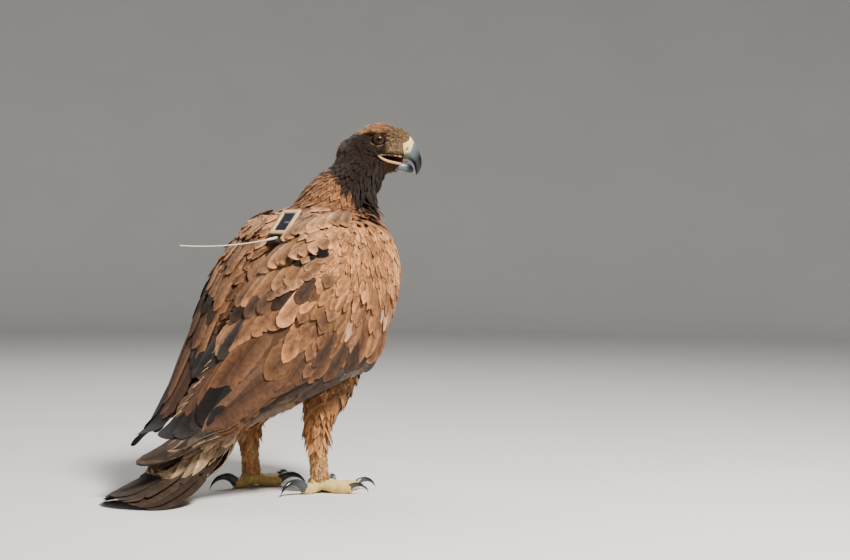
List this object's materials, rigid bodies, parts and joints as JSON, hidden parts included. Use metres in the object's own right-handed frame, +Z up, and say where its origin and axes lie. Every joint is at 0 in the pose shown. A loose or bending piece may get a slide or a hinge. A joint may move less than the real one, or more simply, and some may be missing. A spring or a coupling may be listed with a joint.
{
  "type": "golden eagle, still model",
  "caption": "Life-size still model of a golden eagle standing with folded wings, its head turned to its right, wearing a solar tracking tag on its back.",
  "frame": {"origin": "on the floor, under the middle of the model's box", "axes": "+Z up; the bird's body faces -Y and its left side is +X"},
  "size_m": [0.3124, 0.544, 0.5698],
  "materials": {
    "wing_plumage": "matte brown feathers with pale edges",
    "body_plumage": "matte brown feathers",
    "neck_plumage": "matte tawny feathers, dark on the throat",
    "tail_plumage": "satin dark brown feathers, grey brown below",
    "leg_plumage": "matte short tan feathers",
    "foot_skin": "satin scaled yellow skin",
    "cere_skin": "satin pale yellow skin",
    "bill_horn": "glossy blue grey horn with a black tip",
    "claw_horn": "glossy dark grey horn",
    "eye": "glossy brown eye",
    "tongue_skin": "moist pink flesh",
    "tag_case": "matte black",
    "tag_rim": "satin tan",
    "tag_panel": "glossy dark solar cell",
    "tag_strap": "flat woven ribbon",
    "tag_wire": "pale coated steel wire"
  },
  "bodies": {
    "root": {"torso": "body_plumage", "neck": "neck_plumage", "head": "neck_plumage", "eye_left": "eye", "gape_left": "cere_skin", "eye_right": "eye", "gape_right": "cere_skin", "cere": "cere_skin", "bill_upper": "bill_horn", "bill_lower": "bill_horn", "tongue": "tongue_skin", "thigh_left": "leg_plumage", "shank_left": "leg_plumage", "foot_left": "foot_skin", "claw_middle_left": "claw_horn", "claw_inner_left": "claw_horn", "claw_outer_left": "claw_horn", "claw_hind_left": "claw_horn", "thigh_right": "leg_plumage", "shank_right": "leg_plumage", "foot_right": "foot_skin", "claw_middle_right": "claw_horn", "claw_inner_right": "claw_horn", "claw_outer_right": "claw_horn", "claw_hind_right": "claw_horn", "tail": "tail_plumage", "tag_strap_front_left": "tag_strap", "tag_strap_rear_left": "tag_strap", "wing_left": "wing_plumage", "tag_strap_front_right": "tag_strap", "tag_strap_rear_right": "tag_strap", "wing_right": "wing_plumage", "tag_case": "tag_case", "tag_rim": "tag_rim", "tag_panel": "tag_panel", "tag_antenna": "tag_wire"}
  },
  "joints": []
}
